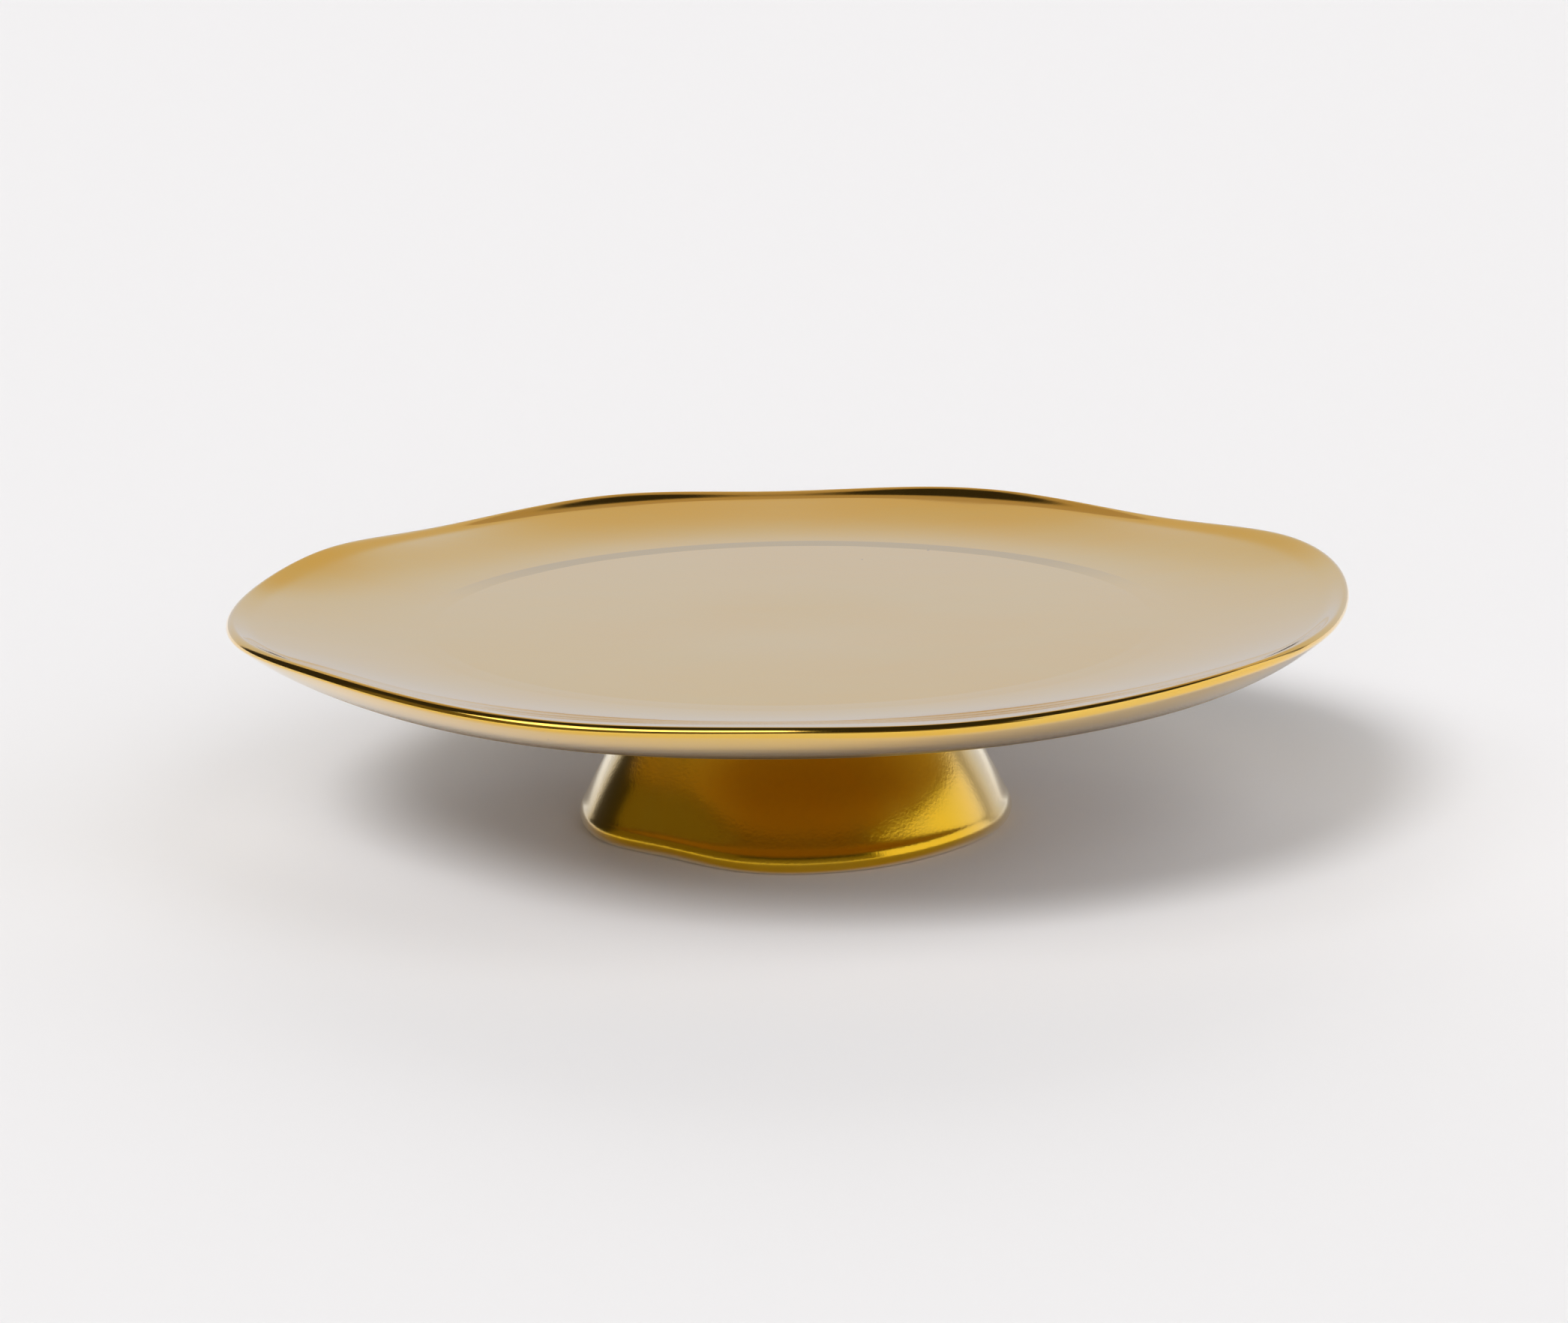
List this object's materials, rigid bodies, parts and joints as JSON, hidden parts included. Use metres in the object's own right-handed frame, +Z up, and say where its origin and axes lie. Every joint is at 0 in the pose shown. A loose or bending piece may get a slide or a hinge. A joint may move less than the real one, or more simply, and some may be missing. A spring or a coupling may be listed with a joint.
{
  "type": "cake stand",
  "caption": "Low round cake stand: a shallow plate with a hand-waved rolled rim, luted to a short hollow flared foot, all in gold-plated porcelain.",
  "frame": {"origin": "on the table, on the foot's axis, at the ground face of the foot ring", "axes": "+Z up along the foot's axis, -Y towards the front, +X to the right"},
  "size_m": [0.3199, 0.3188, 0.0689],
  "materials": {
    "plate_gold": "polished",
    "foot_gold": "polished",
    "joint_gold": "gloss"
  },
  "bodies": {
    "root": {"cake_plate": "plate_gold", "pedestal_foot": "foot_gold", "slip_joint": "joint_gold"}
  },
  "joints": []
}
